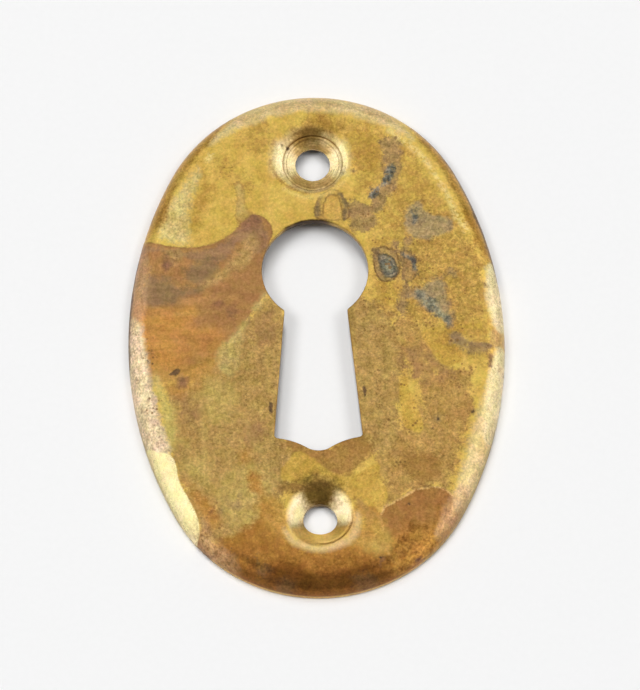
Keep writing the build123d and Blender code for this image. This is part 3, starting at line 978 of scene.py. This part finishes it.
# Painted shade on the upper side of the lower dimple, speckled
stain("lower_dimple_shade", [
    patch((-2.2, -16), (-1.8, -15), (-0.2, -14.5), (1.7, -14.9), (2.2, -15.9), (1.5, -17.2), (0.1, -17.9),
        (-1.4, -17.4)),
], (104, 81, 36), (130, 101, 48), 0.9, 0.7, rough=0.42, grit=1.5)
stain("dimple_stain", [
    patch((-4, -15.7), (-3.2, -15.2), (-2.1, -15.3), (-1.7, -16), (-2.6, -16.3), (-3.6, -16.3)),
], (142, 108, 56), (156, 122, 64), 0.35, 0.6, strength=0.8, grit=1.4)

# Darker along the keyhole's edge, and painted shade on the cut wall at the top of the bow, fading away from
# there
edge_band, wall_band = 0.08, 0.1
shade_left, shade_reach, shade_fade = 0.7, 2.4, 0.25
from_edge = distance_to_loop(plate_points[:, :2], keyhole_loop())
from_top = np.hypot(plate_points[:, 0] + shade_left, plate_points[:, 1] - bow_y - bow_radius)
stain("keyhole_edge", [from_edge - edge_band], (132, 98, 46), (152, 116, 58), 0.12, 0.1, strength=0.6)
# Painted shade on the cut wall, darkest at the top of the bow
from_wall = np.maximum(from_edge - wall_band, (from_top - shade_reach) * shade_fade)
stain("keyhole_wall_shade", [from_wall], (62, 46, 28), (88, 66, 38), 0.12, 0.1, rough=0.5, metallic=0.8)

# Dark specks and pits
stain("specks", [
    patch((4, 14), (9, 16.5), (16, 9), (17.5, -2), (13.5, -10), (9, -14), (4.6, -11), (3.6, 3)),
    patch((-18.8, 2), (-17, 1), (-15, -4), (-15.5, -12), (-18, -6)),
    patch((-12.5, -19.8), (-8, -20.5), (-5, -25), (-9, -26)),
    patch((-10.3, 20.8), (-8.5, 20.6), (-8.1, 18.4), (-9.9, 18)),
], (112, 80, 42), (138, 102, 56), 0.8, 1, strength=0.75, rough=0.45, metallic=0.8, broken=dots)
stain("pits", [
    patch((-14.9, -3.5), (-14.5, -3), (-13.9, -2.8), (-13.8, -3.2), (-14.3, -3.5)),
    patch((-4.8, -6.5), (-4.5, -6.8), (-4.5, -7.6), (-4.8, -7.8), (-4.9, -7.1)),
    patch((4.5, -5.1), (4.8, -5), (4.9, -5.7), (4.7, -6.4)),
    spots(0.09, (-16.8, -0.7), (-16.5, -1.1), (-16.7, -1.6), (-16.5, -2.2), (-17, -1.9)),
    spots(0.14, (-2.5, 21.1), (13, -20.4), (5.9, -23.5), (12, -8.7), (11.5, -9.7), (11.3, -6.5), (15.5, -8),
        (8.9, -17.8)),
], (62, 46, 32), (96, 72, 46), 0.1, 0.2, strength=0.9, rough=0.5, metallic=0.6, mix=mottle)
stain("rusty_marks", [
    spots(0.2, (10, -15.8)),
    stroke(0.25, (10.5, -15.9), (11.1, -15.9), (11.7, -16)),
    stroke(0.25, (-10.3, -17.3), (-10.6, -17.9), (-11, -18.4)),
], (110, 76, 46), (140, 100, 62), 0.2, 0.3, strength=0.85, rough=0.45, mix=mottle)

# Fine life over everything: a thin film, grain and rolling streaks, stronger where the metal is gritty
film_part = combine(tree, "ADD", combine(tree, "MULTIPLY", about_zero(film, 0.8), layer["grit"]), 0.5)
film_tint = blend(tree, film_part, (0.93, 0.905, 0.85, 1), (1.06, 1.065, 1.07, 1))
drift = ease(tree, cloud(tree, place, 1.3, 5.0, 0.6), 0.35, 0.65)
drift_tint = blend(tree, drift, (0.97, 1.02, 0.94, 1), (1.03, 0.98, 1.06, 1))
filmed = tinted(tinted(layer["colour"], film_tint), drift_tint)
unevenness = total(about_zero(mottle, 0.5), about_zero(grain, 1.2), about_zero(streaks, 0.28),
                   about_zero(broad, 0.15))
shade = combine(tree, "ADD", combine(tree, "MULTIPLY", unevenness, layer["grit"]), 1.0)
shaded = add_node(tree, "ShaderNodeVectorMath", {0: filmed, 3: shade}, operation="SCALE").outputs[0]
rough = combine(tree, "ADD", layer["rough"], about_zero(film, 0.08))
height = total(combine(tree, "MULTIPLY", mottle, 0.6), combine(tree, "MULTIPLY", grain, 0.4))
bump = add_node(tree, "ShaderNodeBump", {"Strength": 0.2, "Distance": 0.02 * MM, "Height": height})
set_inputs(tree, tree.nodes["Principled BSDF"], {
    "Base Color": shaded,
    "Roughness": rough,
    "Metallic": layer["metal"],
    "Normal": bump.outputs[0],
})

# The hidden back: plain sheet gone evenly brown
back_tree = add_material("brown_back", plate)
back_place = millimetres(back_tree)
back_cloud = cloud(back_tree, back_place, 2.5, 6.0)
back_grain = cloud(back_tree, millimetres(back_tree, (1, 10, 1)), 0.4, 5.0)
back_colour = blend(back_tree, ease(back_tree, back_cloud, 0.35, 0.65), tone(126, 92, 48), tone(166, 130, 74))
back_colour = blend(back_tree, ease(back_tree, back_grain, 0.45, 0.7, 0, 0.5), back_colour, tone(104, 76, 42))
set_inputs(back_tree, back_tree.nodes["Principled BSDF"], {
    "Base Color": back_colour,
    "Roughness": ease(back_tree, back_cloud, 0.3, 0.7, 0.38, 0.5),
    "Metallic": 0.9,
})


# Camera: the photograph's view, tilted from straight above towards the keyhole's foot
view_tilt = math.radians(22.0)
view_turn = math.radians(1.15)
view_distance = 1500.0
aim = (0.36, 0.33, 0.0)

# The photograph's height in pixels, and how many millimetres each of them shows
photo_height = 690
pixel_size = 0.1005

camera_data = bpy.data.cameras.new("Camera")
camera_data.sensor_width = 36.0
camera_data.lens = camera_data.sensor_width * view_distance / (photo_height * pixel_size)
camera_data.clip_end = 10.0
camera = add_object("Camera", camera_data)
towards = Vector((-math.sin(view_tilt) * math.sin(view_turn), -math.sin(view_tilt) * math.cos(view_turn),
                  math.cos(view_tilt)))
camera.location = (Vector(aim) + towards * view_distance) * MM
camera.rotation_euler = towards.to_track_quat("Z", "Y").to_euler()
bpy.context.scene.camera = camera

# Floor of white paper, with a faint tooth
floor_half = 2.0
floor_corners = [(x * floor_half, y * floor_half, 0) for x, y in ((-1, -1), (1, -1), (1, 1), (-1, 1))]
floor_mesh = bpy.data.meshes.new("floor")
floor_mesh.from_pydata(floor_corners, [], [(0, 1, 2, 3)])
floor = add_object("floor", floor_mesh)
paper_tree = add_material("paper", floor)
fibres = cloud(paper_tree, millimetres(paper_tree), 0.6, 4.0)
paper_greys = [(grey, grey, grey, 1) for grey in (0.925, 0.935)]
paper_colour = blend(paper_tree, ease(paper_tree, fibres, 0.3, 0.7), *paper_greys)
paper_bump = {"Strength": 0.1, "Distance": 0.05 * MM, "Height": fibres}
set_inputs(paper_tree, paper_tree.nodes["Principled BSDF"], {
    "Base Color": paper_colour,
    "Roughness": 0.9,
    "Normal": add_node(paper_tree, "ShaderNodeBump", paper_bump).outputs[0],
})


# Lamps

def add_softbox(name, place, size, radiance):
    """A rectangular lamp that faces the plate and looks as bright as given from there."""
    lamp = bpy.data.lights.new(name, "AREA")
    lamp.shape = "RECTANGLE"
    lamp.size, lamp.size_y = size
    lamp.energy = radiance * math.pi * size[0] * size[1]
    box = add_object(name, lamp)
    box.location = place
    box.rotation_euler = Vector(place).to_track_quat("Z", "Y").to_euler()
    return box


# Softboxes that the metal mirrors, and three lamps that light the floor and the dull stains
mirrored = [
    add_softbox("main_softbox", (0.0, 0.48, 0.94), (1.6, 1.45), 0.90),
    add_softbox("left_softbox", (-0.95, -0.1, 0.42), (1.9, 1.3), 1.3),
    add_softbox("right_softbox", (0.95, -0.1, 0.42), (1.9, 1.3), 1.3),
    add_softbox("far_softbox", (0.0, 1.2, 0.26), (2.2, 0.9), 0.65),
    add_softbox("near_softbox", (0.0, -0.8, 0.75), (2.4, 1.6), 0.28),
]
for box in mirrored:
    box.visible_diffuse = False
unmirrored = [
    add_softbox("strip_lamp", (-0.15, 0.8, 2.5), (0.35, 2.0), 15.0),
    add_softbox("left_lamp", (-1.23, -0.2, 2.16), (0.9, 0.9), 7.6),
    add_softbox("right_lamp", (1.23, -0.2, 2.16), (0.9, 0.9), 5.4),
]
for box in unmirrored:
    box.visible_glossy = False

world = bpy.data.worlds.new("studio")
bpy.context.scene.world = world
world.use_nodes = True
set_inputs(world.node_tree, world.node_tree.nodes["Background"], {"Color": (1, 1, 1, 1), "Strength": 0.12})

bpy.context.scene.view_settings.view_transform = "Standard"
